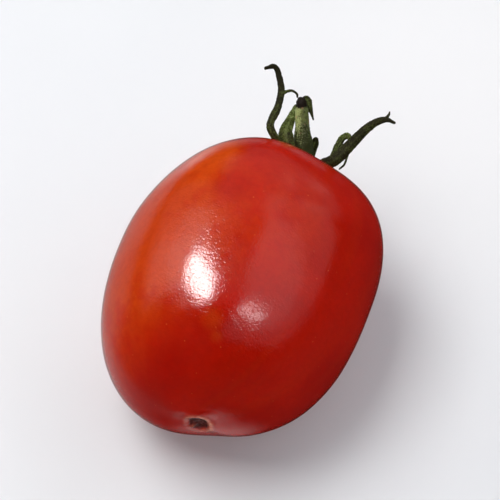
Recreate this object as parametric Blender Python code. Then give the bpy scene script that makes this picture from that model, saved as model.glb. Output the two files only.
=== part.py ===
"""A plum tomato as picked, lying on its side, with its calyx and the stub of its stem.

Metres, +Z up. The stem end points towards +Y and the blossom end towards -Y. The origin is the
middle of the small flat spot that the fruit rests on, straight below its centre of mass.
"""

import math

import bmesh
import bpy
from mathutils import Matrix, Vector

# The fruit's smooth body, measured from the middle of its widest ring
BODY_RADIUS = 0.0278
STEM_LENGTH = 0.0294
BLOSSOM_LENGTH = 0.0366
STEM_POWER = 2.10
BLOSSOM_POWER = 2.47
MIDDLE_BOW = 0.0007
LOPSIDED = 0.116
STEM_SHIFT = 0.112
SCAR_SHIFT = 0.085
SCAR_DROP = 0.055

# Three soft lobes, one for each chamber inside, strongest on the shoulders and near the blossom end
LOBES = 3
STEM_LOBE = 0.0011
STEM_LOBE_PLACE = math.radians(48)
STEM_LOBE_SPREAD = math.radians(26)
STEM_LOBE_TURN = math.radians(-29)
BLOSSOM_LOBE = 0.00095
BLOSSOM_LOBE_PLACE = math.radians(140)
BLOSSOM_LOBE_SPREAD = math.radians(28)
BLOSSOM_LOBE_TURN = math.radians(-14)

# The hollow that the calyx sits in, with pleats running out of it over the shoulders
HOLLOW_DEPTH = 0.0021
HOLLOW_RADIUS = 0.0068
PLEATS = 6
PLEAT_DEPTH = 0.00045
PLEAT_RADIUS = 0.0072
PLEAT_SPREAD = 0.0034

# The scar at the blossom end: an upright oval pit with a raised lip on its upper right
SCAR_HALF_WIDTH = 0.0020
SCAR_HALF_HEIGHT = 0.0029
SCAR_DEPTH = 0.0012
LIP_HEIGHT = 0.0005
LIP_PLACE = 1.32
LIP_SPREAD = 0.34
LIP_TURN = math.radians(40)

# Resting place
REST_TILT = math.radians(4.5)
MASS_CENTRE = Vector((0.0005, -0.0037, 0.0))
MASS_CENTRE_HEIGHT = 0.02735

# Mesh fineness of the fruit
FRUIT_SIDES = 64
SCAR_RINGS = 7
SCAR_RING_GAP = 0.00065
STEM_RINGS = 6
STEM_RING_GAP = 0.0017
BODY_RINGS = 28

# The calyx and stem, measured from the bottom of the hollow: right, outward and up
CLEARANCE = 0.0004
DISC_RADIUS = 0.0040
DISC_THICKNESS = 0.0014
SEPAL_THICKNESS = 0.0007

# Each sepal's route from the disc to its tip, its widest and tip widths, and its turn on the way
SEPALS = {
    "hooked": {
        "route": (
            (-2.2, 1.1, 2.2),
            (-4.2, 1.9, 4.8),
            (-6.5, 2.4, 8.1),
            (-8.0, 4.0, 9.9),
            (-7.7, 8.0, 10.7),
            (-8.2, 11.8, 11.5),
            (-9.6, 14.5, 12.7),
            (-11.1, 15.9, 13.9),
            (-12.6, 14.5, 14.7),
        ),
        "width": 1.85,
        "tip": 0.8,
        "turn": 25,
    },
    "tendril": {
        "route": ((-8.0, 10.6, 11.2), (-7.4, 12.0, 11.1), (-6.3, 12.9, 10.9), (-5.2, 13.2, 10.0)),
        "width": 0.8,
        "tip": 0.7,
        "turn": 0,
    },
    "broad": {
        "route": (
            (-1.2, 1.1, 2.9),
            (-2.6, 1.9, 4.9),
            (-4.0, 3.4, 6.6),
            (-4.9, 5.4, 7.2),
            (-5.3, 9.4, 5.8),
            (-5.3, 13.0, 5.4),
        ),
        "width": 2.9,
        "tip": 0.8,
        "turn": 10,
    },
    "stout": {
        "route": (
            (2.6, 1.1, 1.6),
            (4.9, 1.8, 3.1),
            (7.3, 2.9, 4.7),
            (9.4, 6.2, 6.4),
            (12.4, 10.7, 9.2),
            (15.3, 12.7, 10.8),
            (17.9, 12.4, 11.2),
        ),
        "width": 3.0,
        "tip": 0.9,
        "turn": -20,
    },
    "prong": {
        "route": ((14.7, 12.2, 10.5), (15.5, 13.1, 10.9), (15.9, 13.9, 11.2), (15.9, 14.7, 11.4)),
        "width": 0.8,
        "tip": 0.6,
        "turn": 0,
    },
    "looped": {
        "route": (
            (2.9, 1.1, -0.4),
            (5.0, 2.4, 1.6),
            (6.0, 5.0, 2.9),
            (5.9, 7.8, 3.1),
            (6.5, 10.0, 3.3),
            (8.0, 10.4, 3.3),
            (9.0, 8.4, 3.1),
            (9.3, 5.7, 3.0),
            (9.4, 3.6, 2.8),
            (8.6, 2.2, 2.5),
        ),
        "width": 1.3,
        "tip": 0.8,
        "turn": 70,
    },
    "folded": {
        "route": (
            (0.2, 1.1, -3.1),
            (0.2, 3.6, -3.5),
            (-0.8, 6.8, -1.5),
            (-2.3, 10.1, 2.2),
            (-3.2, 12.7, 5.1),
            (-3.1, 14.4, 7.4),
            (-2.2, 14.4, 8.0),
            (-1.2, 13.1, 7.3),
            (-0.1, 10.5, 5.9),
        ),
        "width": 1.4,
        "tip": 0.8,
        "turn": 20,
    },
    "stubby": {
        "route": ((1.2, 1.1, -3.0), (1.5, 4.0, -3.4), (1.3, 7.1, -1.7), (0.6, 9.2, 0.3)),
        "width": 1.9,
        "tip": 1.2,
        "turn": 0,
    },
    "drooping": {
        "route": (
            (-2.5, 1.1, -1.8),
            (-4.8, 2.0, -3.9),
            (-8.2, 2.2, -6.6),
            (-11.2, 2.4, -9.2),
            (-13.2, 3.6, -11.8),
            (-13.8, 5.6, -13.6),
        ),
        "width": 2.2,
        "tip": 0.8,
        "turn": -35,
    },
}

# The stem's route, and its radius at each of those places
STEM_ROUTE = (
    (0.0, 2.2, 0.0),
    (-0.3, 3.6, 0.9),
    (-1.0, 5.4, 2.6),
    (-2.2, 8.5, 5.5),
    (-3.1, 10.8, 7.7),
    (-3.8, 12.4, 9.7),
)
STEM_RADII = (2.2, 2.35, 2.15, 1.5, 1.2, 1.1)
STEM_SIDES = 16
STEM_STATIONS = 16
UPRIGHT_STATIONS = 5
KNUCKLE_HEIGHT = 0.0003
KNUCKLE_PLACE = 0.80
KNUCKLE_SPREAD = 0.05
MILLIMETRE = 0.001


def bell(value, middle, spread):
    """A smooth bump of height 1 at the middle."""
    return math.exp(-(((value - middle) / spread) ** 2))


def body_reach(direction):
    """Distance from the widest ring's middle to the smooth body's skin in a unit direction."""
    at_stem = direction.y > 0
    length = STEM_LENGTH if at_stem else BLOSSOM_LENGTH
    power = STEM_POWER if at_stem else BLOSSOM_POWER
    along = abs(direction.y) / length
    across = math.hypot(direction.x, direction.z) / BODY_RADIUS
    return (along**power + across**power) ** (-1 / power)


def lobe_relief(polar, around):
    """How far the three lobes stand out of the body, or their valleys sink into it."""
    stem = STEM_LOBE * bell(polar, STEM_LOBE_PLACE, STEM_LOBE_SPREAD)
    blossom = BLOSSOM_LOBE * bell(polar, BLOSSOM_LOBE_PLACE, BLOSSOM_LOBE_SPREAD)
    at_stem = stem * math.cos(LOBES * (around - STEM_LOBE_TURN))
    return at_stem + blossom * math.cos(LOBES * (around - BLOSSOM_LOBE_TURN))


def hollow_relief(distance, around):
    """The stem's hollow and its pleats, at a distance from the stem's axis."""
    hollow = -HOLLOW_DEPTH * math.exp(-((distance / HOLLOW_RADIUS) ** 2))
    pleat = -PLEAT_DEPTH * bell(distance, PLEAT_RADIUS, PLEAT_SPREAD)
    return hollow + pleat * (0.5 + 0.5 * math.cos(PLEATS * around))


def scar_relief(distance, around):
    """The blossom scar's pit and the lip that stands up beside it."""
    edge = 1 / math.hypot(math.sin(around) / SCAR_HALF_WIDTH, math.cos(around) / SCAR_HALF_HEIGHT)
    share = distance / edge
    pit = -SCAR_DEPTH * math.exp(-(share**4))
    lip = LIP_HEIGHT * bell(share, LIP_PLACE, LIP_SPREAD)
    return pit + lip * (0.55 + 0.45 * math.cos(around - LIP_TURN))


def skin_point(polar, around):
    """A point of the skin: polar runs from the stem to the blossom end, around from up to the right."""
    across = math.sin(polar)
    towards_stem = math.cos(polar)
    direction = Vector((across * math.sin(around), towards_stem, across * math.cos(around)))
    if towards_stem > 0:
        direction.x += STEM_SHIFT * towards_stem**2
    else:
        direction.x += SCAR_SHIFT * towards_stem**2
        direction.z -= SCAR_DROP * towards_stem**2
    direction.normalize()
    reach = body_reach(direction)
    distance = reach * across
    reach += lobe_relief(polar, around)
    reach += hollow_relief(distance, around) if towards_stem > 0 else scar_relief(distance, around)
    point = direction * reach
    length = STEM_LENGTH if point.y > 0 else BLOSSOM_LENGTH
    point.y += LOPSIDED * point.x
    point.x += MIDDLE_BOW * max(0.0, 1 - (point.y / length) ** 2)
    return point


def ring_angles():
    """The rings' polar angles, close together in the hollow and round the scar."""
    stem = [number * STEM_RING_GAP / STEM_LENGTH for number in range(1, STEM_RINGS + 1)]
    scar = [math.pi - number * SCAR_RING_GAP / BLOSSOM_LENGTH for number in range(SCAR_RINGS, 0, -1)]
    start, end = stem[-1], scar[0]
    middle = [start + (end - start) * step / BODY_RINGS for step in range(1, BODY_RINGS)]
    return stem + middle + scar


def add_object(name, mesh_data, parent, material):
    """Writes a bmesh to a smooth-shaded object of its own, under the fruit's empty."""
    bmesh.ops.recalc_face_normals(mesh_data, faces=mesh_data.faces)
    mesh = bpy.data.meshes.new(name)
    mesh_data.to_mesh(mesh)
    mesh_data.free()
    mesh.shade_smooth()
    mesh.materials.append(material)
    made = bpy.data.objects.new(name, mesh)
    bpy.context.collection.objects.link(made)
    made.parent = parent
    return made


def add_material(name, colour, roughness):
    """A Principled material of one colour."""
    material = bpy.data.materials.new(name)
    material.use_nodes = True
    shader = material.node_tree.nodes["Principled BSDF"]
    shader.inputs["Base Color"].default_value = (*colour, 1)
    shader.inputs["Roughness"].default_value = roughness
    shader.inputs["Metallic"].default_value = 0
    return material


def make_fruit(parent):
    """The fruit: rings of skin bridged into one closed body, cut flat where it rests."""
    shape = bmesh.new()
    rings = []
    for polar in ring_angles():
        corners = [
            shape.verts.new(skin_point(polar, math.tau * side / FRUIT_SIDES))
            for side in range(FRUIT_SIDES)
        ]
        rings.append([shape.edges.new((corners[i - 1], corners[i])) for i in range(FRUIT_SIDES)])
    for first, second in zip(rings, rings[1:]):
        bmesh.ops.bridge_loops(shape, edges=first + second)
    for ring, polar in ((rings[0], 0.0), (rings[-1], math.pi)):
        pole = shape.verts.new(skin_point(polar, 0.0))
        for edge in ring:
            shape.faces.new((*edge.verts, pole))
    floor = parent.matrix_world.inverted()
    bmesh.ops.bisect_plane(
        shape,
        geom=shape.verts[:] + shape.edges[:] + shape.faces[:],
        plane_co=floor @ Vector((0, 0, 0)),
        plane_no=floor.to_3x3() @ Vector((0, 0, -1)),
        clear_outer=True,
    )
    rim = [edge for edge in shape.edges if edge.is_boundary]
    bmesh.ops.contextual_create(shape, geom=rim)
    return add_object("fruit", shape, parent, add_material("skin", (0.55, 0.045, 0.02), 0.25))


def smooth_route(points, stations):
    """Evenly numbered points on one smooth curve through the route's own points."""
    ends = [points[0] * 2 - points[1], *points, points[-1] * 2 - points[-2]]
    spans = len(points) - 1
    route = []
    for number in range(stations):
        place = number * spans / (stations - 1)
        span = min(int(place), spans - 1)
        share = place - span
        before, start, end, after = ends[span : span + 4]
        route.append(
            (
                start * 2
                + (end - before) * share
                + (before * 2 - start * 5 + end * 4 - after) * share**2
                + (start * 3 - before - end * 3 + after) * share**3
            )
            / 2
        )
    return route


def tangents(route):
    """Unit directions along a route."""
    last = len(route) - 1
    return [
        (route[min(number + 1, last)] - route[max(number - 1, 0)]).normalized()
        for number in range(last + 1)
    ]


def loft(shape, outlines):
    """Closes a row of outlines with the same number of corners into one body."""
    loops = [[shape.verts.new(corner) for corner in outline] for outline in outlines]
    for first, second in zip(loops, loops[1:]):
        for corner in range(len(first)):
            shape.faces.new((first[corner - 1], first[corner], second[corner], second[corner - 1]))
    shape.faces.new(loops[0])
    shape.faces.new(reversed(loops[-1]))


def sepal_width(share, widest, tip):
    """A sepal's width at a share of its length: narrow at the root, widest at a third, then tapering."""
    root = 0.72 * widest
    if share < 0.3:
        return root + (widest - root) * math.sin(share / 0.3 * math.pi / 2)
    return tip + (widest - tip) * math.cos((share - 0.3) / 0.7 * math.pi / 2) ** 1.3


def add_sepal(shape, plan, origin):
    """One sepal: a strap with a keeled, channelled section, swept along its route."""
    points = [origin + Vector(place) * MILLIMETRE for place in plan["route"]]
    stations = 2 * len(points) - 1
    route = smooth_route(points, stations)
    forward = tangents(route)
    towards_stem = origin - points[0]
    towards_stem.y = 0
    upper = Vector((0, 1, 0)) + towards_stem.normalized()
    outlines = []
    for number, (place, along) in enumerate(zip(route, forward)):
        share = number / (stations - 1)
        upper = (upper - along * upper.dot(along)).normalized()
        turned = Matrix.Rotation(math.radians(plan["turn"]) * share, 3, along) @ upper
        side = along.cross(turned)
        half = sepal_width(share, plan["width"], plan["tip"]) * MILLIMETRE / 2
        thick = SEPAL_THICKNESS / 2
        channel = 0.3 * half
        outlines.append(
            [
                place - side * half + turned * (channel - thick * 0.6),
                place - turned * (thick + channel * 0.3),
                place + side * half + turned * (channel - thick * 0.6),
                place + side * half + turned * (channel + thick * 0.6),
                place + turned * (thick - channel * 0.3),
                place - side * half + turned * (channel + thick * 0.6),
            ]
        )
    loft(shape, outlines)


def make_disc(shape, origin):
    """The calyx's disc: a low turned button round the stem's foot."""
    profile = [
        (0.0, 0.0),
        (0.4, 0.05),
        (0.8, 0.28),
        (1.0, 0.6),
        (0.86, 0.9),
        (0.66, 1.0),
        (0.0, 1.0),
    ]
    corners = [
        shape.verts.new(origin + Vector((reach * DISC_RADIUS, CLEARANCE + rise * DISC_THICKNESS, 0)))
        for reach, rise in profile
    ]
    edges = [shape.edges.new(pair) for pair in zip(corners, corners[1:])]
    bmesh.ops.spin(
        shape,
        geom=corners + edges,
        cent=origin,
        axis=(0, 1, 0),
        angle=math.tau,
        steps=24,
        use_merge=True,
    )
    bmesh.ops.remove_doubles(shape, verts=shape.verts, dist=0.00001)


def make_calyx(parent, origin):
    """The calyx: the disc and its sepals, joined into one body."""
    material = add_material("calyx green", (0.07, 0.11, 0.03), 0.6)
    sepals = bpy.data.collections.new("sepals")
    for name, plan in SEPALS.items():
        shape = bmesh.new()
        add_sepal(shape, plan, origin)
        sepal = add_object(name, shape, parent, material)
        bpy.context.collection.objects.unlink(sepal)
        sepals.objects.link(sepal)
    shape = bmesh.new()
    make_disc(shape, origin)
    calyx = add_object("calyx", shape, parent, material)
    union = calyx.modifiers.new("join sepals", "BOOLEAN")
    union.operation = "UNION"
    union.operand_type = "COLLECTION"
    union.collection = sepals
    graph = bpy.context.evaluated_depsgraph_get()
    joined = bpy.data.meshes.new_from_object(calyx.evaluated_get(graph))
    calyx.modifiers.clear()
    calyx.data = joined
    for sepal in list(sepals.objects):
        bpy.data.objects.remove(sepal, do_unlink=True)
    bpy.data.collections.remove(sepals)
    return calyx


def make_stem(parent, origin):
    """The stem's stub: swollen at its foot, with a knuckle below its dry end."""
    points = [origin + Vector(place) * MILLIMETRE for place in STEM_ROUTE]
    route = smooth_route(points, STEM_STATIONS)
    outward = Vector((0, 1, 0))
    side = Vector((1, 0, 0))
    outlines = []
    for number, (place, leaning) in enumerate(zip(route, tangents(route))):
        along = outward.lerp(leaning, min(1.0, number / UPRIGHT_STATIONS)).normalized()
        share = number / (STEM_STATIONS - 1)
        span = min(int(share * (len(STEM_RADII) - 1)), len(STEM_RADII) - 2)
        within = share * (len(STEM_RADII) - 1) - span
        radius = (STEM_RADII[span] * (1 - within) + STEM_RADII[span + 1] * within) * MILLIMETRE
        radius += KNUCKLE_HEIGHT * bell(share, KNUCKLE_PLACE, KNUCKLE_SPREAD)
        side = (side - along * side.dot(along)).normalized()
        other = along.cross(side)
        outlines.append(
            [
                place
                + side * radius * math.cos(math.tau * corner / STEM_SIDES)
                + other * radius * math.sin(math.tau * corner / STEM_SIDES)
                for corner in range(STEM_SIDES)
            ]
        )
    shape = bmesh.new()
    loft(shape, outlines)
    return add_object("stem", shape, parent, add_material("stem green", (0.17, 0.24, 0.06), 0.5))


def main():
    for old in list(bpy.data.objects):
        bpy.data.objects.remove(old, do_unlink=True)
    tomato = bpy.data.objects.new("tomato", None)
    bpy.context.collection.objects.link(tomato)
    tomato.rotation_euler.x = REST_TILT
    bpy.context.view_layer.update()
    turned_centre = tomato.matrix_world @ MASS_CENTRE
    tomato.location = Vector((0, 0, MASS_CENTRE_HEIGHT)) - turned_centre
    bpy.context.view_layer.update()
    make_fruit(tomato)
    hollow_bottom = skin_point(0.0, 0.0)
    make_calyx(tomato, hollow_bottom)
    make_stem(tomato, hollow_bottom)
    bpy.context.view_layer.update()


main()
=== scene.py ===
import math

import bmesh
import bpy
from mathutils import Matrix, Vector, kdtree, noise


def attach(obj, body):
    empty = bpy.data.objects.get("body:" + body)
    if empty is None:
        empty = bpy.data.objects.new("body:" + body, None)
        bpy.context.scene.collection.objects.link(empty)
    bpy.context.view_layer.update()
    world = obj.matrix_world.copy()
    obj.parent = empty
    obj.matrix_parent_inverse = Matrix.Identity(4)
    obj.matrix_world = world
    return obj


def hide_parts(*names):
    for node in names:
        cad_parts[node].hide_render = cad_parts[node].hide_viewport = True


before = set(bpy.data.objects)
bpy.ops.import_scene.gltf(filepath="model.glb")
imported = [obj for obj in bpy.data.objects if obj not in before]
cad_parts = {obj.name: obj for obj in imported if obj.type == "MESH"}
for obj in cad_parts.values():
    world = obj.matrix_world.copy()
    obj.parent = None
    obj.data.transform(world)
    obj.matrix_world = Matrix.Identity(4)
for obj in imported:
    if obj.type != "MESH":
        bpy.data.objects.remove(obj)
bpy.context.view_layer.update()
mm = 0.001

# the fruit's own axes: it lies with its stem end tilted up a little
fruitMiddle = Vector((-0.5, 3.69, 27.64)) * mm
fruitTilt = math.radians(4.5)
fruitPlace = Matrix.Translation(fruitMiddle) @ Matrix.Rotation(fruitTilt, 4, "X")
hollowBottom = Vector((3.13, 27.51, 0.0))   # in mm from the fruit's middle, in its own axes


# general helpers

def deselectAll():
    if bpy.context.object and bpy.context.object.mode != "OBJECT":
        bpy.ops.object.mode_set(mode="OBJECT")
    bpy.ops.object.select_all(action="DESELECT")


def takeUp(piece):
    deselectAll()
    piece.select_set(True)
    bpy.context.view_layer.objects.active = piece


def applyModifier(piece, kind, **settings):
    takeUp(piece)
    modifier = piece.modifiers.new(kind.lower(), kind)
    for setting, value in settings.items():
        setattr(modifier, setting, value)
    bpy.ops.object.modifier_apply(modifier=modifier.name)


def dress(piece, material):
    takeUp(piece)
    bpy.ops.object.shade_smooth_by_angle(angle=math.radians(180))
    piece.data.materials.clear()
    piece.data.materials.append(material)


def bump(value, middle, spread):
    return math.exp(-(((value - middle) / spread) ** 2))


def fade(value, start, end):
    share = min(1.0, max(0.0, (value - start) / (end - start)))
    return share * share * (3 - 2 * share)


def setAttributes(piece, named):
    for name, values in named.items():
        layer = piece.data.attributes.new(name, "FLOAT", "POINT")
        layer.data.foreach_set("value", values)


def makeFinder(places):
    finder = kdtree.KDTree(len(places))
    for number, place in enumerate(places):
        finder.insert(place, number)
    finder.balance()
    return finder


def fruitPoint(point):   # a point in mm along the fruit's own axes
    return fruitPlace.inverted() @ Vector(point) / mm


# materials

def newMaterial(name):
    material = bpy.data.materials.new(name)
    material.use_nodes = True
    nodes = material.node_tree.nodes
    return material, nodes, material.node_tree.links, nodes["Principled BSDF"]


def addNode(nodes, kind, **settings):
    node = nodes.new(kind)
    for setting, value in settings.items():
        if setting in node.inputs:
            node.inputs[setting].default_value = value
        else:
            setattr(node, setting, value)
    return node


def feed(links, socket, value):   # the value is another node's socket, or a number or colour
    if isinstance(value, bpy.types.NodeSocket):
        links.new(value, socket)
    else:
        socket.default_value = value


def addMix(nodes, links, factor, first, second):
    node = nodes.new("ShaderNodeMix")
    node.data_type = "RGBA"
    for number, value in ((0, factor), (6, first), (7, second)):
        feed(links, node.inputs[number], value)
    return node.outputs[2]


def addMath(nodes, links, operation, first, second=0.0, clamp=False):
    node = nodes.new("ShaderNodeMath")
    node.operation = operation
    node.use_clamp = clamp
    feed(links, node.inputs[0], first)
    feed(links, node.inputs[1], second)
    return node.outputs[0]


def addRange(nodes, links, value, low, high, outLow=0.0, outHigh=1.0):
    node = nodes.new("ShaderNodeMapRange")
    node.interpolation_type = "SMOOTHSTEP"
    links.new(value, node.inputs[0])
    for number, setting in enumerate((low, high, outLow, outHigh), 1):
        node.inputs[number].default_value = setting
    return node.outputs[0]


def addNoise(nodes, links, vector, scale, detail=3.0, roughness=0.55, distortion=0.0):
    node = nodes.new("ShaderNodeTexNoise")
    node.inputs["Scale"].default_value = scale
    node.inputs["Detail"].default_value = detail
    node.inputs["Roughness"].default_value = roughness
    node.inputs["Distortion"].default_value = distortion
    links.new(vector, node.inputs["Vector"])
    return node.outputs[0]


def addSpot(nodes, links, position, middle, size, turn=(0, 0, 0)):
    # a soft round or oval patch, 1 in the middle and 0 outside
    mapping = addNode(nodes, "ShaderNodeMapping", vector_type="TEXTURE")
    mapping.inputs["Location"].default_value = middle
    mapping.inputs["Rotation"].default_value = turn
    mapping.inputs["Scale"].default_value = size
    links.new(position, mapping.inputs["Vector"])
    ball = addNode(nodes, "ShaderNodeTexGradient", gradient_type="SPHERICAL")
    links.new(mapping.outputs[0], ball.inputs["Vector"])
    return addRange(nodes, links, ball.outputs["Fac"], 0.0, 0.85)


def addAttribute(nodes, name):
    return addNode(nodes, "ShaderNodeAttribute", attribute_name=name).outputs["Fac"]


def addRelief(nodes, links, shader, height, strength, depth):   # depth in mm
    relief = addNode(nodes, "ShaderNodeBump", Strength=strength, Distance=depth * mm)
    links.new(height, relief.inputs["Height"])
    links.new(relief.outputs[0], shader.inputs["Normal"])


def addGlow(shader, look):   # light that goes in and comes out again, and how far each colour goes
    shader.inputs["Subsurface Weight"].default_value = look["glow"]
    shader.inputs["Subsurface Radius"].default_value = look["glowReach"]
    shader.inputs["Subsurface Scale"].default_value = look["glowScale"]


skinLook = {
    "deepest": (0.27, 0.004, 0.001, 1),
    "deepRed": (0.38, 0.0048, 0.0010, 1),
    "red": (0.47, 0.0078, 0.0012, 1),
    "warmRed": (0.48, 0.021, 0.002, 1),
    "orangeRed": (0.50, 0.043, 0.0035, 1),
    "orange": (0.56, 0.059, 0.005, 1),
    "mottle": (0.20, 0.004, 0.002, 1),
    "speck": (0.72, 0.16, 0.04, 1),
    # the raised rim's pale tone: partly its own paler rim, partly a painted highlight
    "lip": (0.62, 0.24, 0.14, 1),
    # the pit's tones: the darker one is partly painted shade in its hollow
    "pitDarkAndShade": (0.060, 0.006, 0.004, 1),
    "pitBrown": (0.17, 0.024, 0.016, 1),
    "hollow": (0.46, 0.15, 0.02, 1),
    "ripeScale": 0.045,     # these six are patches per mm
    "wobbleScale": 0.22,
    "mottleScale": 0.9,
    "sparseScale": 0.35,
    "crumbleScale": 1.6,
    "dullScale": 0.6,
    "fibreStrength": 0.07,
    "mottleStrength": 0.16,
    "speckStrength": 0.35,
    "speckSpacing": 1.5,    # mm
    "roughness": 0.115,
    "pitRoughness": 0.4,    # on top of the skin's own
    "refraction": 1.38,
    "glow": 0.12,
    "glowReach": (1.0, 0.22, 0.10),
    "glowScale": 0.0025,    # metres
    "fineBump": 0.27,
    "bumpDepth": 0.12,      # mm
    "grainSize": 0.45,      # mm
    "waveScale": 0.45,      # waves per mm
    "waveHeight": 1.2,      # as a share of the grain's
    "poreSpacing": 0.62,    # mm
    "poreDepth": 0.35,
    "patches": (            # more orange or a deeper red: middle and half size in mm, strength, tone
        ((6, 2, 26), (22, 26, 20), 0.8, "warmRed"),
        ((-18, -28, 8), (15, 15, 16), 0.9, "warmRed"),
        ((-17, -6, 16), (26, 32, 30), 2.0, "orangeRed"),
        ((-11, 13, 22), (8, 14, 9), 1.6, "orange"),
        ((-4, 6, 27), (6, 6, 5), 0.8, "deepRed"),
        ((2, -30, 17), (20, 14, 16), 0.35, "deepest"),
        ((6, -24, 23), (14, 8, 9), 0.55, "deepest"),
        ((2.3, -22.4, 24.2), (3.4, 3.4, 3.4), 0.55, "orangeRed"),
        ((4.2, -25.3, 22.5), (2, 2, 2), 0.5, "orangeRed"),
    ),
}


def skinPlace(nodes, links):   # mm, in the fruit's own axes
    coordinates = addNode(nodes, "ShaderNodeTexCoord")
    mapping = addNode(nodes, "ShaderNodeMapping", vector_type="TEXTURE")
    mapping.inputs["Location"].default_value = fruitMiddle
    mapping.inputs["Rotation"].default_value = (fruitTilt, 0, 0)
    mapping.inputs["Scale"].default_value = (mm, mm, mm)
    links.new(coordinates.outputs["Object"], mapping.inputs["Vector"])
    return mapping.outputs[0]


def skinColour(nodes, links, place):
    look = skinLook
    # ripeness: broad patches
    ripe = addNoise(nodes, links, place, look["ripeScale"], 2.0, 0.5, 0.6)
    colour = addMix(nodes, links, addRange(nodes, links, ripe, 0.36, 0.64), look["deepRed"], look["red"])
    for middle, size, strength, tone in look["patches"]:
        spot = addSpot(nodes, links, place, middle, size)
        wobble = addNoise(nodes, links, place, look["wobbleScale"], 3.0)
        wobble = addRange(nodes, links, wobble, 0.30, 0.62, 0.45, 1.0)
        amount = addMath(nodes, links, "MULTIPLY", spot, wobble)
        amount = addMath(nodes, links, "MULTIPLY", amount, strength, True)
        colour = addMix(nodes, links, amount, colour, look[tone])
    # fibres under the skin run from the stem to the blossom end
    fibres = addRange(nodes, links, addAttribute(nodes, "ribs"), 0.45, 0.80, 0.0, look["fibreStrength"])
    colour = addMix(nodes, links, fibres, colour, look["orangeRed"])
    mottle = addNoise(nodes, links, place, look["mottleScale"], 4.0, 0.6)
    mottle = addRange(nodes, links, mottle, 0.35, 0.68, 0.0, look["mottleStrength"])
    colour = addMix(nodes, links, mottle, colour, look["mottle"])
    # pale specks
    specks = addNode(nodes, "ShaderNodeTexVoronoi", feature="F1")
    specks.inputs["Scale"].default_value = 1 / look["speckSpacing"]
    links.new(place, specks.inputs["Vector"])
    dot = addRange(nodes, links, specks.outputs["Distance"], 0.16, 0.05)
    sparse = addNoise(nodes, links, place, look["sparseScale"], 2.0)
    sparse = addRange(nodes, links, sparse, 0.50, 0.66, 0.0, look["speckStrength"])
    return addMix(nodes, links, addMath(nodes, links, "MULTIPLY", dot, sparse), colour, look["speck"])


def markColour(nodes, links, place, colour, pit):   # the blossom scar and its lip, and the stem's hollow
    look = skinLook
    crumble = addNoise(nodes, links, place, look["crumbleScale"], 4.0, 0.65)
    broken = addRange(nodes, links, crumble, 0.30, 0.60, 0.35, 1.0)
    # the raised rim painted pale: its own paler rim and a painted highlight on its upper right side
    lip = addMath(nodes, links, "MULTIPLY", addAttribute(nodes, "lip"), broken)
    colour = addMix(nodes, links, lip, colour, look["lip"])
    # the pit painted dark: the scar's brown tissue and painted shade in its hollow, broken up by crumbs
    scarBrownAndShade = addRange(nodes, links, crumble, 0.42, 0.66)
    scarBrownAndShade = addMix(nodes, links, scarBrownAndShade, look["pitDarkAndShade"], look["pitBrown"])
    colour = addMix(nodes, links, pit, colour, scarBrownAndShade)
    broken = addRange(nodes, links, crumble, 0.3, 0.7, 0.4, 1.0)
    hollow = addMath(nodes, links, "MULTIPLY", addAttribute(nodes, "hollow"), broken)
    return addMix(nodes, links, hollow, colour, look["hollow"])


def skinMaterial():
    look = skinLook
    material, nodes, links, shader = newMaterial("tomato skin")
    place = skinPlace(nodes, links)
    pit = addAttribute(nodes, "pit")
    colour = markColour(nodes, links, place, skinColour(nodes, links, place), pit)
    links.new(colour, shader.inputs["Base Color"])
    # a waxy gloss that varies a little
    dull = addNoise(nodes, links, place, look["dullScale"], 3.0)
    dull = addRange(nodes, links, dull, 0.3, 0.7, -0.02, 0.04)
    rough = addMath(nodes, links, "ADD", dull, look["roughness"])
    pitRough = addMath(nodes, links, "MULTIPLY", pit, look["pitRoughness"])
    links.new(addMath(nodes, links, "ADD", rough, pitRough, True), shader.inputs["Roughness"])
    shader.inputs["IOR"].default_value = look["refraction"]
    addGlow(shader, look)
    # the skin's fine grain and its pores
    grain = addNoise(nodes, links, place, 1 / look["grainSize"], 2.0, 0.5)
    wave = addNoise(nodes, links, place, look["waveScale"], 2.0, 0.5)
    pores = addNode(nodes, "ShaderNodeTexVoronoi", feature="F1", Scale=1 / look["poreSpacing"])
    links.new(place, pores.inputs["Vector"])
    dimple = addRange(nodes, links, pores.outputs["Distance"], 0.10, 0.42, 0.0, look["poreDepth"])
    wave = addMath(nodes, links, "MULTIPLY", wave, look["waveHeight"])
    height = addMath(nodes, links, "ADD", addMath(nodes, links, "ADD", grain, wave), dimple)
    addRelief(nodes, links, shader, height, look["fineBump"], look["bumpDepth"])
    return material


# the fruit's skin

fruitPlan = {
    "mergeWithin": 0.002,   # mm
    "flatBelow": 0.02,      # mm, for the flat spot it rests on, and the rim kept around it
    "flatRim": 0.6,
    "keepFlat": (0.0001, 0.0025),   # metres up, over which the dents set in
    "smoothing": 2,
    "dents": 0.05,          # mm, over dentSize
    "dentSize": 8.0,
    "ripples": 0.012,       # mm, over rippleSize
    "rippleSize": 2.1,
    "scarMiddle": (3.1, -36.0, -2.0),   # mm
    "scarHalf": (2.0, 2.9),
    "scarRough": 0.16,
    "scarRise": 1.7,        # mm, how far the scar is moved up, and stretched by a share of its height
    "scarStretch": 0.22,
    "scarReach": (1.4, 3.4),        # these four are shares of the scar's own edge
    "pitEdge": (0.90, 1.14),
    "lipEdge": (1.32, 0.25),
    "edgeWaver": 0.16,
    # where the raised rim's painted highlight shows most
    "lipSide": math.radians(50),    # where the lip shows most
    "scarKnob": (1.7, -3.6),        # mm
    "knobHeight": 0.45,
    "hollowReach": (3.0, 7.0),      # mm from the hollow's bottom
    "ribLean": 0.1,
    "ribCount": 9,
}


def scarShare(point):
    # distance from the scar's middle, as a share of its own edge
    across = (point.x - fruitPlan["scarMiddle"][0]) / fruitPlan["scarHalf"][0]
    up = (point.z - fruitPlan["scarMiddle"][2]) / fruitPlan["scarHalf"][1]
    return math.hypot(across, up) if point.y < 0 else 99.0


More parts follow.
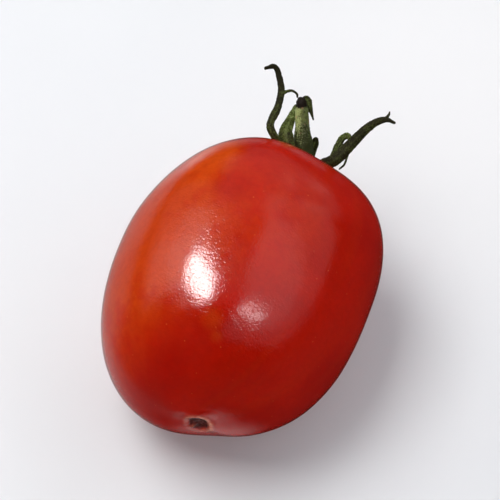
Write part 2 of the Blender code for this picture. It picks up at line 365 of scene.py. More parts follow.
def scarMarks(point, share, knob):
    # how much a point belongs to the scar's pit, painted dark as its brown tissue and as painted shade, and
    # to its pale raised rim, partly a painted highlight
    plan = fruitPlan
    edge = share + noise.noise(point * 0.9) * plan["edgeWaver"]
    pit = (1 - fade(edge, *plan["pitEdge"])) * (1 - 0.8 * knob)
    # the raised rim is pale all round, more toward one side, where its painted highlight falls
    side = math.atan2(point.x - plan["scarMiddle"][0], point.z - plan["scarMiddle"][2])
    lip = bump(edge, *plan["lipEdge"]) * (0.10 + 0.45 * (1 + math.cos(side - plan["lipSide"])))
    return pit, max(0.7 * knob, lip)


def ribMark(point):
    # streaks that hardly change from the stem to the blossom end
    across = point.x - fruitPlan["ribLean"] * point.y
    angle = math.atan2(across, point.z)
    polar = math.atan2(math.hypot(across, point.z), point.y)
    count = fruitPlan["ribCount"]
    return 0.5 + 0.5 * noise.noise(Vector((math.cos(angle) * count, math.sin(angle) * count, polar * 1.2)))


def smoothFruit():
    # a copy of the CAD's fruit, its flat spot made one face with a rim, and smoothed
    plan = fruitPlan
    skin = bpy.data.objects.new("fruitSkin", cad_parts["fruit"].data.copy())
    bpy.context.scene.collection.objects.link(skin)
    takeUp(skin)
    bpy.ops.object.mode_set(mode="EDIT")
    bpy.ops.mesh.select_all(action="SELECT")
    bpy.ops.mesh.customdata_custom_splitnormals_clear()
    bpy.ops.mesh.remove_doubles(threshold=plan["mergeWithin"] * mm)
    bpy.ops.mesh.tris_convert_to_quads()
    bpy.ops.mesh.select_all(action="DESELECT")
    shape = bmesh.from_edit_mesh(skin.data)
    for face in shape.faces:
        face.select = face.normal.z < -0.9999 and face.calc_center_median().z < plan["flatBelow"] * mm
    bmesh.update_edit_mesh(skin.data)
    bpy.ops.mesh.dissolve_faces()
    bpy.ops.mesh.inset(thickness=plan["flatRim"] * mm)
    bpy.ops.object.mode_set(mode="OBJECT")
    applyModifier(skin, "SUBSURF", levels=plan["smoothing"], render_levels=plan["smoothing"])
    return skin


def makeSkin():
    plan = fruitPlan
    skin = smoothFruit()
    named = {"pit": [], "lip": [], "hollow": [], "ribs": []}
    normals = [vertex.normal.copy() for vertex in skin.data.vertices]
    for vertex, normal in zip(skin.data.vertices, normals):
        point = fruitPoint(vertex.co)
        share = scarShare(point)
        knob = 0.0
        if share < 2:
            knob = bump(math.hypot(point.x - plan["scarKnob"][0], point.z - plan["scarKnob"][1]), 0, 0.5)
        dents = noise.noise(point / plan["dentSize"]) * plan["dents"]
        dents += noise.noise(point / plan["rippleSize"]) * plan["ripples"]
        rough = noise.fractal(point * 1.3, 0.7, 2.0, 4) * plan["scarRough"] * bump(share, 0.5, 0.8)
        keep = fade(vertex.co.z, *plan["keepFlat"])
        vertex.co += normal * (dents + rough + plan["knobHeight"] * knob) * mm * keep
        rise = plan["scarRise"] + plan["scarStretch"] * (point.z - plan["scarMiddle"][2])
        vertex.co.z += rise * (1 - fade(share, *plan["scarReach"])) * mm
        reach = (point - hollowBottom).length if point.y > 0 else 99.0
        marks = (*scarMarks(point, share, knob), 1 - fade(reach, *plan["hollowReach"]), ribMark(point))
        for values, value in zip(named.values(), marks):
            values.append(value)
    setAttributes(skin, named)
    dress(skin, skinMaterial())
    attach(skin, "root")
    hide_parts("fruit")
    print("skin made:", len(skin.data.polygons), "faces")


# the calyx

# each sepal's route in mm from the hollow's bottom: right, outward, up; its widest and tip widths in mm, and
# peak, the share of its length where it is widest; its turns in degrees along it; its root and tip tones,
# partly its own colour and partly painted shade
sepalPlans = {
    "hooked": {
        "route": ((-2.2, 1.1, 2.2), (-4.2, 1.9, 4.8), (-6.5, 2.4, 8.1), (-8.0, 4.0, 9.9), (-7.7, 8.0, 10.7),
                  (-8.2, 11.8, 11.5), (-9.6, 14.5, 12.7), (-11.1, 15.9, 13.9), (-12.9, 14.3, 14.6)),
        "width": 1.95, "tip": 1.15, "turns": (15, 25, 45, 45, 35, 50), "tonesAndShade": (0.62, -0.5),
    },
    "tendril": {
        "route": ((-8.0, 10.6, 11.2), (-7.3, 12.0, 11.3), (-6.1, 12.9, 11.2), (-5.0, 13.0, 10.3),
                  (-4.7, 12.6, 9.5)),
        "width": 0.8, "tip": 0.6, "turns": (0, 0), "tonesAndShade": (0.25, 0.3),
    },
    "broad": {
        "route": ((-1.2, 1.1, 2.9), (-2.6, 1.9, 4.9), (-4.0, 3.4, 6.6), (-4.8, 5.4, 7.2), (-5.0, 9.4, 5.8),
                  (-5.1, 13.0, 5.4)),
        "width": 3.4, "tip": 1.3, "peak": 0.42, "turns": (0, 15, 35, 45, 50), "tonesAndShade": (-0.02, 0.85),
    },
    "stout": {
        "route": ((2.6, 1.1, 1.6), (4.9, 1.8, 3.1), (7.3, 2.9, 4.7), (9.4, 6.2, 6.4), (12.4, 10.7, 9.2),
                  (15.3, 12.7, 10.8), (17.9, 12.4, 11.2)),
        "width": 3.0, "tip": 0.9, "turns": (-10, -25, -38, -40, -45, -50), "tonesAndShade": (0.22, 0.0),
    },
    "prong": {
        "route": ((14.7, 12.2, 10.5), (15.5, 13.1, 10.9), (15.9, 13.9, 11.2), (15.9, 14.7, 11.4)),
        "width": 0.8, "tip": 0.55, "turns": (0, 0), "tonesAndShade": (0.1, 0.2),
    },
    "looped": {
        "route": ((2.9, 1.1, -0.4), (5.2, 2.4, 1.4), (6.4, 4.8, 2.5), (6.5, 7.3, 2.8), (6.9, 9.6, 3.0),
                  (8.0, 10.4, 3.3), (9.0, 8.4, 3.1), (9.3, 5.7, 3.0), (9.4, 3.6, 2.8), (8.6, 2.2, 2.5)),
        "width": 1.85, "tip": 0.7, "peak": 0.3, "turns": (-30, -45, -45, -40, -20, 0), "tonesAndShade": (0.58, 0.32),
    },
    "folded": {
        "route": ((0.2, 1.1, -3.1), (0.2, 3.6, -3.5), (-0.8, 6.8, -1.5), (-2.3, 10.1, 2.2), (-3.2, 12.7, 5.1),
                  (-3.4, 13.9, 6.9), (-2.8, 13.9, 7.4), (-2.0, 12.8, 6.9), (-0.2, 10.4, 5.8)),
        "width": 1.9, "tip": 0.6, "peak": 0.8, "turns": (0, 5, 8, -5, -62, -62), "tonesAndShade": (0.45, 0.30),
    },
    "stubby": {
        "route": ((1.0, 1.1, -3.0), (0.9, 4.0, -3.4), (0.6, 7.1, -1.7), (0.9, 9.4, 0.2)),
        "width": 2.3, "tip": 1.5, "peak": 0.8, "turns": (0, 20), "tonesAndShade": (0.5, 0.45),
    },
    "drooping": {
        "route": ((-2.5, 1.1, -1.8), (-4.8, 2.0, -3.9), (-8.2, 2.2, -6.6), (-11.2, 2.4, -9.2),
                  (-13.2, 3.6, -11.8), (-13.8, 5.6, -13.6)),
        "width": 2.2, "tip": 0.7, "turns": (0, -35), "tonesAndShade": (0.5, 0.3),
    },
}

calyxPlan = {
    "thickness": 0.62,       # mm
    "thinning": 0.25,        # by the tip, as a share of the thickness
    "stationsPerSpan": 5,
    "corners": 12,
    "channel": 0.16,         # how far a root's edges stand up, as a share of the sepal's width
    "widthWaver": 0.10,
    "turnWaver": 9,          # degrees
    "rootShare": 0.72,       # of the widest width, up to rootLimit
    "rootLimit": 2.0,        # mm
    "taper": 1.3,
    "tipStart": 0.9,
    "tipNarrowing": 0.25,
    "tipThinning": 0.15,
    "tipLength": 0.25,       # mm
    "discRadius": 2.8,
    "discDepth": 0.2,
    "discSides": 40,
    "discStart": 0.6,
    "discSteps": ((0.25, 1.35), (0.35, 1.05), (0.30, 0.82), (0.20, 0.62), (1.1, 0.86)),   # rise, size
    "discTone": 0.35,
    "voxel": 0.15,
    "smoothing": 4,
    "wrinkles": 0.05,
}


def calyxPoint(place):   # mm from the hollow's bottom to metres in the scene
    return fruitPlace @ ((hollowBottom + Vector(place)) * mm)


def smoothRoute(points, perSpan):
    points = [Vector(point) for point in points]
    ends = [points[0] * 2 - points[1], *points, points[-1] * 2 - points[-2]]
    route = []
    for span in range(len(points) - 1):
        before, start, end, after = ends[span:span + 4]
        for step in range(perSpan + (span == len(points) - 2)):
            t = step / perSpan
            route.append((start * 2 + (end - before) * t + (before * 2 - start * 5 + end * 4 - after) * t**2
                          + (start * 3 - before - end * 3 + after) * t**3) / 2)
    return route


def alongValue(values, share):   # read at a share of the way through evenly spaced values
    spot = min(share, 0.999) * (len(values) - 1)
    return values[int(spot)] * (1 - spot % 1) + values[int(spot) + 1] * (spot % 1)


def startRing(name, corners):
    deselectAll()
    bpy.ops.mesh.primitive_circle_add(vertices=corners, radius=1, fill_type="NGON")
    piece = bpy.context.object
    piece.name = name
    bpy.ops.object.mode_set(mode="EDIT")
    bpy.ops.mesh.select_all(action="SELECT")
    return piece


def ringPlace(side, upper, along, place):   # where a flat unit ring comes to lie across a route
    placed = Matrix(((*side, 0), (*upper, 0), (*along, 0), (0, 0, 0, 1))).transposed()
    placed.translation = place
    return placed


def closeRing():
    bpy.ops.mesh.select_all(action="SELECT")
    bpy.ops.mesh.normals_make_consistent(inside=False)
    bpy.ops.object.mode_set(mode="OBJECT")


def strapWidth(share, plan):
    widest, tip, peak = plan["width"], plan["tip"], plan.get("peak", 0.3)
    root = min(calyxPlan["rootShare"] * widest, calyxPlan["rootLimit"])
    if share < peak:
        return root + (widest - root) * math.sin(share / peak * math.pi / 2)
    narrowing = math.cos((share - peak) / (1 - peak) * math.pi / 2) ** calyxPlan["taper"]
    return tip + (widest - tip) * narrowing


def growSepal(name, plan, marks):
    # a flat ring at the root, extruded station by station; marks collects where along and across each ring is
    route = smoothRoute(plan["route"], calyxPlan["stationsPerSpan"])
    last = len(route) - 1
    upper = Vector((0, 1, 0)) - Vector((route[0].x, 0, route[0].z)).normalized()
    sepal = startRing(name, calyxPlan["corners"])
    shape = bmesh.from_edit_mesh(sepal.data)
    old = Matrix.Identity(4)
    for number, place in enumerate(route):
        share = number / last
        along = (route[min(number + 1, last)] - route[max(number - 1, 0)]).normalized()
        upper = (upper - along * upper.dot(along)).normalized()
        waver = noise.noise(Vector((number * 0.35, len(name), 3.0)))
        turn = alongValue(plan["turns"], share) + waver * calyxPlan["turnWaver"]
        turned = Matrix.Rotation(math.radians(turn), 3, along) @ upper
        width = strapWidth(share, plan) * (1 + calyxPlan["widthWaver"] * waver)
        thick = calyxPlan["thickness"] * (1 - calyxPlan["thinning"] * share)
        past = max(0.0, share - calyxPlan["tipStart"])
        width *= 1 - calyxPlan["tipNarrowing"] * past / 0.1
        thick *= 1 - calyxPlan["tipThinning"] * past / 0.1
        new = ringPlace(along.cross(turned) * width / 2, turned * thick / 2, along, place)
        if number:
            bpy.ops.mesh.extrude_region_move()
            shape = bmesh.from_edit_mesh(sepal.data)
        step = new @ old.inverted()
        # from root to tip: the sepal's own colour and painted shade
        tone = plan["tonesAndShade"][0] * (1 - share) + plan["tonesAndShade"][1] * share
        ring = [vertex for vertex in shape.verts if vertex.select]
        for vertex in ring:
            vertex.co = step @ vertex.co
            flat = new.inverted() @ vertex.co
            if number == 0:   # the strap is channelled: its edges stand up
                vertex.co += turned * (calyxPlan["channel"] * plan["width"] * (flat.x**2 - 0.35))
            marks.append((vertex.co.copy(), share, flat.x, tone))
        bmesh.update_edit_mesh(sepal.data)
        old = new
    bpy.ops.mesh.extrude_region_move()
    shape = bmesh.from_edit_mesh(sepal.data)
    for vertex in shape.verts:
        if vertex.select:
            vertex.co += along * calyxPlan["tipLength"]
    bpy.ops.mesh.merge(type="CENTER")
    closeRing()
    return sepal


def growDisc(marks):
    plan = calyxPlan
    deselectAll()
    bpy.ops.mesh.primitive_cylinder_add(
        vertices=plan["discSides"], radius=plan["discRadius"], depth=plan["discDepth"])
    disc = bpy.context.object
    disc.name = "disc"
    disc.data.transform(Matrix.Rotation(math.radians(-90), 4, "X"))   # its axis now runs outward
    disc.data.transform(Matrix.Translation((0, plan["discStart"], 0)))
    bpy.ops.object.mode_set(mode="EDIT")
    shape = bmesh.from_edit_mesh(disc.data)
    for face in shape.faces:
        face.select = face.normal.y > 0.9
    bmesh.update_edit_mesh(disc.data)
    for rise, size in plan["discSteps"]:
        bpy.ops.mesh.extrude_region_move()
        shape = bmesh.from_edit_mesh(disc.data)
        for vertex in shape.verts:
            if vertex.select:
                vertex.co.x *= size
                vertex.co.z *= size
                vertex.co.y += rise
        bmesh.update_edit_mesh(disc.data)
    bpy.ops.object.mode_set(mode="OBJECT")
    for vertex in disc.data.vertices:
        marks.append((vertex.co.copy(), 0.0, 0.0, plan["discTone"]))
    return disc


def makeCalyx():
    marks = []
    pieces = [growDisc(marks)]
    for name, plan in sepalPlans.items():
        pieces.append(growSepal(name, plan, marks))
    deselectAll()
    for piece in pieces:
        piece.select_set(True)
    bpy.context.view_layer.objects.active = pieces[0]
    bpy.ops.object.join()
    calyx = bpy.context.object
    calyx.name = "calyxLeaves"
    applyModifier(calyx, "REMESH", mode="VOXEL", voxel_size=calyxPlan["voxel"])
    applyModifier(calyx, "SMOOTH", factor=0.5, iterations=calyxPlan["smoothing"])
    finder = makeFinder([mark[0] for mark in marks])
    named = {"along": [], "across": [], "tone": []}
    normals = [vertex.normal.copy() for vertex in calyx.data.vertices]
    for vertex, normal in zip(calyx.data.vertices, normals):
        near = finder.find_n(vertex.co, 4)
        weights = [1 / (distance + 0.02) for _, _, distance in near]
        total = sum(weights)
        for number, values in enumerate(named.values(), 1):
            values.append(sum(w * marks[i][number] for w, (_, i, _) in zip(weights, near)) / total)
        wrinkle = noise.fractal(Vector(vertex.co) * 1.1, 0.8, 2.0, 3)
        vertex.co += normal * wrinkle * calyxPlan["wrinkles"]
    for vertex in calyx.data.vertices:
        vertex.co = calyxPoint(vertex.co)
    setAttributes(calyx, named)
    dress(calyx, leafMaterial())
    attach(calyx, "root")
    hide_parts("calyx")
    print("calyx made:", len(calyx.data.polygons), "faces")


leafLook = {
    "black": (0.014, 0.012, 0.0035, 1),
    "dark": (0.040, 0.046, 0.011, 1),
    "green": (0.105, 0.135, 0.030, 1),
    "pale": (0.33, 0.42, 0.14, 1),
    "steps": (("dark", 0.0, 0.42), ("green", 0.38, 0.80), ("pale", 0.78, 1.15)),   # from black, by tone
    "patchScale": 480,       # patches and specks per metre
    "speckScale": 3000,
    "patchStrength": 0.22,
    "speckStrength": 0.30,
    "ribStrength": 0.35,
    "dryTip": (0.86, 1.0, 0.0, 0.7),   # where along it, and how dry at either end of that
    "roughness": 0.58,
    "gloss": 0.05,
    "glow": 0.08,
    "glowReach": (0.5, 1.0, 0.2),
    "glowScale": 0.0006,     # metres
    "veinScale": 2.2,
    "veinHeight": 0.4,
    "bumpStrength": 0.6,
    "bumpDepth": 0.12,       # mm
}


def plantGrain():
    # shared by the calyx and the stem: broad patches, fine specks and a height for the bump
    if "plantGrain" in bpy.data.node_groups:
        return bpy.data.node_groups["plantGrain"]
    group = bpy.data.node_groups.new("plantGrain", "ShaderNodeTree")
    group.interface.new_socket("Place", in_out="INPUT", socket_type="NodeSocketVector")
    for name in ("Patch Scale", "Speck Scale"):
        group.interface.new_socket(name, in_out="INPUT", socket_type="NodeSocketFloat")
    for name in ("Patches", "Specks", "Height"):
        group.interface.new_socket(name, in_out="OUTPUT", socket_type="NodeSocketFloat")
    nodes, links = group.nodes, group.links
    given = nodes.new("NodeGroupInput")
    result = nodes.new("NodeGroupOutput")
    patches = addNode(nodes, "ShaderNodeTexNoise", Detail=3.0, Roughness=0.6)
    specks = addNode(nodes, "ShaderNodeTexNoise", Detail=3.0, Roughness=0.65)
    pores = addNode(nodes, "ShaderNodeTexVoronoi")
    for node, scale in ((patches, "Patch Scale"), (specks, "Speck Scale"), (pores, "Speck Scale")):
        links.new(given.outputs["Place"], node.inputs["Vector"])
        links.new(given.outputs[scale], node.inputs["Scale"])
    links.new(patches.outputs[0], result.inputs["Patches"])
    links.new(specks.outputs[0], result.inputs["Specks"])
    pits = addMath(nodes, links, "MULTIPLY", pores.outputs["Distance"], 0.4)
    links.new(addMath(nodes, links, "ADD", specks.outputs[0], pits), result.inputs["Height"])
    return group


def addGrain(nodes, links, patchScale, speckScale):
    grain = nodes.new("ShaderNodeGroup")
    grain.node_tree = plantGrain()
    links.new(addNode(nodes, "ShaderNodeTexCoord").outputs["Object"], grain.inputs["Place"])
    grain.inputs["Patch Scale"].default_value = patchScale
    grain.inputs["Speck Scale"].default_value = speckScale
    return grain.outputs


def roughen(nodes, links, value, grain, low, high, strength):
    # the value, broken up both ways by a grain between low and high
    return addMath(nodes, links, "ADD", value, addRange(nodes, links, grain, low, high, -strength, strength))


def leafMaterial():
    look = leafLook
    material, nodes, links, shader = newMaterial("calyx leaf")
    grain = addGrain(nodes, links, look["patchScale"], look["speckScale"])
    across = addAttribute(nodes, "across")
    tone = addAttribute(nodes, "tone")
    # each sepal has its own tone, partly its colour and partly painted shade, broken up by patches and specks
    broken = roughen(nodes, links, tone, grain["Patches"], 0.30, 0.70, look["patchStrength"])
    broken = roughen(nodes, links, broken, grain["Specks"], 0.32, 0.68, look["speckStrength"])
    colour = look["black"]
    for paler, low, high in look["steps"]:
        colour = addMix(nodes, links, addRange(nodes, links, broken, low, high), colour, look[paler])
    # a paler rib down the middle, and tips that dried
    rib = addMath(nodes, links, "ABSOLUTE", across)
    rib = addRange(nodes, links, rib, 0.25, 0.05, 0.0, look["ribStrength"])
    colour = addMix(nodes, links, addMath(nodes, links, "MULTIPLY", rib, tone), colour, look["pale"])
    dry = addRange(nodes, links, addAttribute(nodes, "along"), *look["dryTip"])
    colour = addMix(nodes, links, dry, colour, look["black"])
    links.new(colour, shader.inputs["Base Color"])
    usual = look["roughness"]
    rough = addRange(nodes, links, grain["Patches"], 0.3, 0.7, usual - 0.08, usual + 0.1)
    links.new(rough, shader.inputs["Roughness"])
    shader.inputs["Specular IOR Level"].default_value = look["gloss"]
    addGlow(shader, look)
    # fine veins run the length of each sepal
    veins = addNode(nodes, "ShaderNodeTexWave", bands_direction="X", Scale=look["veinScale"], Distortion=0.0)
    strip = addNode(nodes, "ShaderNodeCombineXYZ")
    links.new(across, strip.inputs["X"])
    links.new(strip.outputs[0], veins.inputs["Vector"])
    veins = addMath(nodes, links, "MULTIPLY", veins.outputs["Fac"], look["veinHeight"])
    height = addMath(nodes, links, "ADD", grain["Height"], veins)
    addRelief(nodes, links, shader, height, look["bumpStrength"], look["bumpDepth"])
    return material


# the stem

stemPlan = {
    "route": ((0.0, 1.5, 0.0), (-0.3, 3.6, 0.9), (-1.0, 5.4, 2.6), (-2.2, 8.5, 5.5), (-3.1, 10.8, 7.7),
              (-3.6, 11.9, 9.1)),
    "radii": (2.35, 2.45, 2.2, 1.6, 1.35, 1.1),
    "sides": 20,
    "stationsPerSpan": 6,
    "straightStations": 10,    # over which it leans into its route
    "endSteps": ((0.28, 0.93), (0.30, 0.88), (0.28, 0.78), (0.20, 0.60), (0.05, 0.5)),   # rise, size
    "smoothing": 2,
    "ridges": 0.10,
    "ridgeCount": 5,
    "ridgeTwist": 1.5,
    "knuckle": 0.16,
    "knucklePlace": (0.80, 0.05),
    "roughness": 0.10,         # mm, and how much more at the dry end
    "endRoughness": 0.12,
    # the light's direction: the stem's side facing it is painted paler, a painted highlight, its far side
    # darker, painted shade
    "paintedLightFrom": Vector((-0.93, -0.1, 0.35)),
}


def growStem(route):
    plan = stemPlan
    last = len(route) - 1
    side = Vector((1, 0, 0))
    outward = Vector((0, 1, 0))
    stem = startRing("stemStub", plan["sides"])
    shape = bmesh.from_edit_mesh(stem.data)
    old = Matrix.Identity(4)
    for number, place in enumerate(route):
        share = number / last
        leaning = (route[min(number + 1, last)] - route[max(number - 1, 0)]).normalized()
        along = outward.lerp(leaning, min(1.0, number / plan["straightStations"])).normalized()
        side = (side - along * side.dot(along)).normalized()
        other = along.cross(side)
        spot = share * (len(plan["radii"]) - 1)
        span = min(int(spot), len(plan["radii"]) - 2)
        start, end = plan["radii"][span:span + 2]
        radius = start + (end - start) * fade(spot - span, 0, 1)
        radius += plan["knuckle"] * bump(share, *plan["knucklePlace"])
        new = ringPlace(side * radius, other * radius, along, place)
        if number:
            bpy.ops.mesh.extrude_region_move()
            shape = bmesh.from_edit_mesh(stem.data)
        step = new @ old.inverted()
        for vertex in shape.verts:
            if vertex.select:
                vertex.co = step @ vertex.co
        bmesh.update_edit_mesh(stem.data)
        old = new
    # the dry end is a rounded knob
    for sink, size in plan["endSteps"]:
        bpy.ops.mesh.extrude_region_move()
        shape = bmesh.from_edit_mesh(stem.data)
        for vertex in shape.verts:
            if vertex.select:
                offset = vertex.co - place
                rise = offset.dot(along)
                vertex.co = place + (offset - along * rise) * size + along * (rise + sink)
        bmesh.update_edit_mesh(stem.data)
    closeRing()
    applyModifier(stem, "SUBSURF", levels=plan["smoothing"], render_levels=plan["smoothing"])
    return stem


def makeStem():
    plan = stemPlan
    route = smoothRoute(plan["route"], plan["stationsPerSpan"])
    stem = growStem(route)
    finder = makeFinder(route)
    named = {"along": [], "paintedLitSide": []}
    normals = [vertex.normal.copy() for vertex in stem.data.vertices]
    for vertex, normal in zip(stem.data.vertices, normals):
        point = vertex.co.copy()
        near, number, _ = finder.find(point)
        share = number / (len(route) - 1)
        offset = point - near
        angle = math.atan2(offset.z, offset.x)
        lobe = math.cos(plan["ridgeCount"] * angle + share * plan["ridgeTwist"])
        ridge = lobe * plan["ridges"] * (1 - 0.5 * share)
        dryness = fade(share, 0.8, 0.95)
        rough = noise.fractal(point * 0.9, 0.8, 2.0, 4) * (plan["roughness"] + plan["endRoughness"] * dryness)
        vertex.co = point + normal * (ridge + rough)
        named["along"].append(share + 0.05 * noise.noise(point * 0.8))
        # how much each point faces the light, for the painted highlight and painted shade
        named["paintedLitSide"].append(fade(normal.dot(plan["paintedLightFrom"]), -0.35, 0.85))
    for vertex in stem.data.vertices:
        vertex.co = calyxPoint(vertex.co)
    setAttributes(stem, named)
    dress(stem, stemMaterial())
    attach(stem, "root")
    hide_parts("stem")
    print("stem made:", len(stem.data.polygons), "faces")


stemLook = {
    "dark": (0.030, 0.036, 0.009, 1),
    "green": (0.13, 0.165, 0.045, 1),
    "pale": (0.36, 0.43, 0.16, 1),
    "grey": (0.12, 0.135, 0.065, 1),
    "pink": (0.40, 0.15, 0.10, 1),
    "dry": (0.011, 0.007, 0.004, 1),
    "patchScale": 520,       # patches, specks and pink spots per metre
    "speckScale": 3000,
    "pinkScale": 1100,
    "foot": (0.68, 0.46, 0.0, 0.96),   # where along it, and how dark at either end of that
    "dryEnd": (0.86, 0.91),
    "roughness": 0.58,
    "gloss": 0.06,
    "bumpStrength": 0.7,
    "bumpDepth": 0.12,       # mm
}


def stemMaterial():
    look = stemLook
    material, nodes, links, shader = newMaterial("stem")
    grain = addGrain(nodes, links, look["patchScale"], look["speckScale"])
    along = addAttribute(nodes, "along")
    patches = addRange(nodes, links, grain["Patches"], 0.35, 0.65)
    colour = addMix(nodes, links, patches, look["grey"], look["green"])
    # painted light and shade: the side facing the light painted paler, the other side painted dark; the foot
    # darker
    light = roughen(nodes, links, addAttribute(nodes, "paintedLitSide"), grain["Specks"], 0.30, 0.70, 0.35)
    colour = addMix(nodes, links, addRange(nodes, links, light, 0.35, 0.95), colour, look["pale"])
    shade = roughen(nodes, links, light, grain["Patches"], 0.35, 0.65, 0.2)
    shade = addRange(nodes, links, shade, 0.25, -0.25, 0.0, 0.75)
    colour = addMix(nodes, links, shade, colour, look["dark"])
    foot = roughen(nodes, links, along, grain["Specks"], 0.3, 0.7, 0.12)
    colour = addMix(nodes, links, addRange(nodes, links, foot, *look["foot"]), colour, look["dark"])
    # pink spots towards the end, and the end itself dried
    place = addNode(nodes, "ShaderNodeTexCoord").outputs["Object"]
    pink = addNoise(nodes, links, place, look["pinkScale"], 2.0, 0.5)
    pink = addRange(nodes, links, pink, 0.62, 0.70, 0.0, 0.6)
    pink = addMath(nodes, links, "MULTIPLY", pink, addRange(nodes, links, along, 0.45, 0.7))
    colour = addMix(nodes, links, pink, colour, look["pink"])
    dry = roughen(nodes, links, along, grain["Specks"], 0.3, 0.7, 0.03)
    colour = addMix(nodes, links, addRange(nodes, links, dry, *look["dryEnd"]), colour, look["dry"])
    links.new(colour, shader.inputs["Base Color"])
    usual = look["roughness"]
    rough = addRange(nodes, links, grain["Patches"], 0.3, 0.7, usual - 0.08, usual + 0.12)
    links.new(rough, shader.inputs["Roughness"])
    shader.inputs["Specular IOR Level"].default_value = look["gloss"]
    addRelief(nodes, links, shader, grain["Height"], look["bumpStrength"], look["bumpDepth"])
    return material


# the floor, lights and camera

stagePlan = {
    "floorSize": 6.0,
    "floorColour": (0.770, 0.785, 0.81, 1),
    "floorPatches": (0.98, 0.98, 0.985),    # the share of each colour that its faint patches keep
    "floorPatchScale": 14,                  # patches per metre
    # a paler spot painted on the floor: a painted pool of light
    "paintedLightSpot": ((0.035, 0.09), (0.10, 0.08), 0.84),    # middle and half size in metres, tone
    # painted reflection: tones the floor is painted for glossy rays only, which the skin mirrors
    "mirroredFar": 0.002,      # how pale the skin mirrors the floor, and how pale in a part at the left
    "mirroredLeft": 0.245,
    "mirroredEdges": (         # of that part: axis, and the metres between which it fades in
        ("X", -0.022, -0.040), ("X", -0.45, -0.16), ("Y", -0.048, -0.018), ("Y", 0.30, 0.10),
    ),
    "mirroredSpots": (         # and in spots: middle and half size in metres, turn in degrees and tone
        ((-0.28, 0.148), (0.33, 0.06), 152, 0.50),
        ((-0.008, 0.122), (0.042, 0.042), 0, 0.22),
        ((-0.115, 0.125), (0.13, 0.04), 133, 1.0),
        ((-0.033, -0.016), (0.036, 0.034), 0, 0.385),
        ((0.009, -0.040), (0.018, 0.019), 0, 0.9),
    ),
    "world": (0.80, 0.90, 1.0, 1),
    "worldStrength": 0.09,
    "azimuth": 20,
    "elevation": 59,
    "distance": 0.45,
    "lens": 150,
    "sensor": 36,
    "nearest": 0.01,       # metres, where the view starts
    "aim": (1.5, 5.0),     # mm right and up in the view, from the fruit's middle
}

# each lamp: where it comes from, its distance and its width and height in metres, its turn in degrees, its
# brightness and colour, whether it lights the gloss, the shade or both, and its shape if not a rectangle
lamps = {
    "window": {
        "from": (-0.328, -0.056, 0.943), "distance": 0.62, "size": (0.50, 0.155), "turn": 46,
        "brightness": 42, "colour": (1.0, 0.99, 0.98), "lights": "gloss", "shape": "ELLIPSE"},
    "windowShade": {
        "from": (-0.341, -0.025, 0.94), "distance": 0.62, "size": (0.40, 0.30), "turn": 0,
        "brightness": 6.9, "colour": (1.0, 0.985, 0.965), "lights": "shade"},
    "glint": {
        "from": (0.648, -0.317, 0.693), "distance": 0.62, "size": (0.045, 0.23), "turn": 15,
        "brightness": 17, "colour": (1.0, 1.0, 1.0), "lights": "gloss"},
    "veil": {
        "from": (0.718, 0.154, 0.679), "distance": 0.6, "size": (1.2, 0.69), "turn": 9,
        "brightness": 0.57, "colour": (0.97, 0.97, 1.0), "lights": "gloss"},
    "veilTop": {
        "from": (0.368, 0.887, 0.278), "distance": 0.6, "size": (0.26, 0.34), "turn": -14,
        "brightness": 0.3, "colour": (0.97, 0.97, 1.0), "lights": "gloss"},
    "veilLow": {
        "from": (0.650, 0.011, 0.759), "distance": 0.6, "size": (0.37, 0.82), "turn": -41,
        "brightness": 0.82, "colour": (0.95, 0.95, 1.0), "lights": "gloss", "shape": "ELLIPSE"},
    "spill": {
        "from": (0.137, -0.022, 0.990), "distance": 0.62, "size": (0.19, 0.44), "turn": -46,
        "brightness": 0.45, "colour": (1.0, 0.98, 0.98), "lights": "gloss", "shape": "ELLIPSE"},
    "veilShade": {
        "from": (0.66, 0.53, 0.53), "distance": 0.6, "size": (1.4, 0.70), "turn": 0,
        "brightness": 1.0, "colour": (0.97, 0.98, 1.0), "lights": "shade"},
    "glow": {
        "from": (-0.520, -0.026, 0.854), "distance": 0.62, "size": (0.78, 0.32), "turn": 51,
        "brightness": 1.3, "colour": (1.0, 0.99, 0.98), "lights": "gloss", "shape": "ELLIPSE"},
    "halo": {
        "from": (-0.767, 0.095, 0.635), "distance": 0.6, "size": (0.327, 0.5), "turn": 9,
        "brightness": 0.95, "colour": (1.0, 0.98, 0.98), "lights": "both"},
    "haloSoft": {
        "from": (-0.814, 0.158, 0.559), "distance": 0.6, "size": (0.61, 0.58), "turn": 12,
        "brightness": 0.3, "colour": (1.0, 0.98, 0.98), "lights": "both"},
    "back": {
        "from": (-0.15, 0.75, 0.64), "distance": 0.8, "size": (0.7, 0.9), "turn": 0,
        "brightness": 0.4, "colour": (0.95, 0.97, 1.0), "lights": "both"},
    "horizon": {
        "from": (0.0, 0.998, 0.07), "distance": 0.6, "size": (0.44, 0.135), "turn": 0,
        "brightness": 0.25, "colour": (0.97, 0.97, 1.0), "lights": "gloss"},
    "frontShade": {
        "from": (-0.25, -0.85, 0.45), "distance": 0.8, "size": (1.2, 0.8), "turn": 0,
        "brightness": 0.8, "colour": (1.0, 0.98, 0.97), "lights": "shade"},
}


def addLamp(name, plan, target):
    bpy.ops.object.light_add(type="AREA")
    lamp = bpy.context.object
    lamp.name = name
    direction = Vector(plan["from"]).normalized()
    lamp.location = target + direction * plan["distance"]
    turn = Matrix.Rotation(math.radians(plan["turn"]), 3, "Z")
    lamp.rotation_euler = (direction.to_track_quat("Z", "Y").to_matrix() @ turn).to_euler()
    lamp.data.shape = plan.get("shape", "RECTANGLE")
    lamp.data.size, lamp.data.size_y = plan["size"]
    area = plan["size"][0] * plan["size"][1] * (math.pi / 4 if lamp.data.shape == "ELLIPSE" else 1)
    lamp.data.energy = plan["brightness"] * math.pi * area
    lamp.data.color = plan["colour"]
    lamp.visible_camera = False
    lamp.visible_diffuse = plan["lights"] != "gloss"
    lamp.visible_glossy = plan["lights"] != "shade"


def grey(tone):
    return (tone, tone, tone * 1.02, 1)


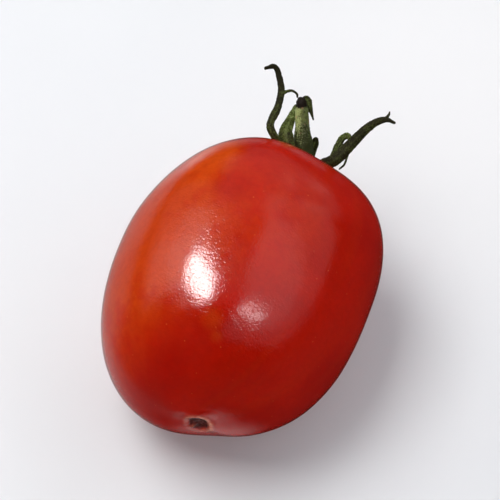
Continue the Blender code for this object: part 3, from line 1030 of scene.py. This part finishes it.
def floorMaterial():
    plan = stagePlan
    material, nodes, links, shader = newMaterial("floor")
    place = addNode(nodes, "ShaderNodeTexCoord").outputs["Object"]
    patches = addNoise(nodes, links, place, plan["floorPatchScale"], 3.0, 0.5)
    pale = plan["floorColour"]
    greyer = (*(part * share for part, share in zip(pale, plan["floorPatches"])), 1)
    seen = addMix(nodes, links, addRange(nodes, links, patches, 0.35, 0.65), pale, greyer)
    # a painted pool of light: the floor painted paler in one spot
    middle, size, tone = plan["paintedLightSpot"]
    seen = addMix(nodes, links, addSpot(nodes, links, place, (*middle, 0), (*size, 1)), seen, grey(tone))
    # a painted reflection: for glossy rays only the floor is painted other tones, so the skin mirrors it
    # duller than it is, except at its left and in a few spots
    split = addNode(nodes, "ShaderNodeSeparateXYZ")
    links.new(place, split.inputs[0])
    amount = 1.0
    for axis, low, high in plan["mirroredEdges"]:
        inside = addRange(nodes, links, split.outputs[axis], low, high)
        amount = addMath(nodes, links, "MULTIPLY", amount, inside)
    mirrored = addMix(nodes, links, amount, grey(plan["mirroredFar"]), grey(plan["mirroredLeft"]))
    for middle, size, turn, tone in plan["mirroredSpots"]:
        spot = addSpot(nodes, links, place, (*middle, 0), (*size, 1), (0, 0, math.radians(turn)))
        mirrored = addMix(nodes, links, spot, mirrored, grey(tone))
    ray = addNode(nodes, "ShaderNodeLightPath")
    links.new(addMix(nodes, links, ray.outputs["Is Glossy Ray"], seen, mirrored), shader.inputs["Base Color"])
    shader.inputs["Roughness"].default_value = 0.6
    shader.inputs["Specular IOR Level"].default_value = 0.2
    return material


def makeStage():
    plan = stagePlan
    deselectAll()
    bpy.ops.mesh.primitive_plane_add(size=plan["floorSize"])
    floor = bpy.context.object
    floor.name = "floor"
    floor.data.materials.append(floorMaterial())
    world = bpy.data.worlds.new("soft room")
    bpy.context.scene.world = world
    world.use_nodes = True
    sky = world.node_tree.nodes["Background"]
    sky.inputs["Color"].default_value = plan["world"]
    sky.inputs["Strength"].default_value = plan["worldStrength"]
    world.cycles_visibility.glossy = False
    for name, lamp in lamps.items():
        addLamp(name, lamp, fruitMiddle)
    print("stage made")


def makeCamera():
    plan = stagePlan
    azimuth, elevation = math.radians(plan["azimuth"]), math.radians(plan["elevation"])
    level = math.cos(elevation)
    back = Vector((math.sin(azimuth) * level, -math.cos(azimuth) * level, math.sin(elevation)))
    right = Vector((math.cos(azimuth), math.sin(azimuth), 0))
    up = back.cross(right)
    aim = fruitMiddle + (right * plan["aim"][0] + up * plan["aim"][1]) * mm
    deselectAll()
    bpy.ops.object.camera_add(location=aim + back * plan["distance"])
    camera = bpy.context.object
    camera.rotation_euler = Matrix((right, up, back)).transposed().to_euler()
    camera.data.sensor_width = plan["sensor"]
    camera.data.lens = plan["lens"]
    camera.data.clip_start = plan["nearest"]
    bpy.context.scene.camera = camera
    bpy.context.scene.view_settings.view_transform = "Standard"
    print("camera set")


makeSkin()
makeCalyx()
makeStem()
makeStage()
makeCamera()

bpy.context.view_layer.update()
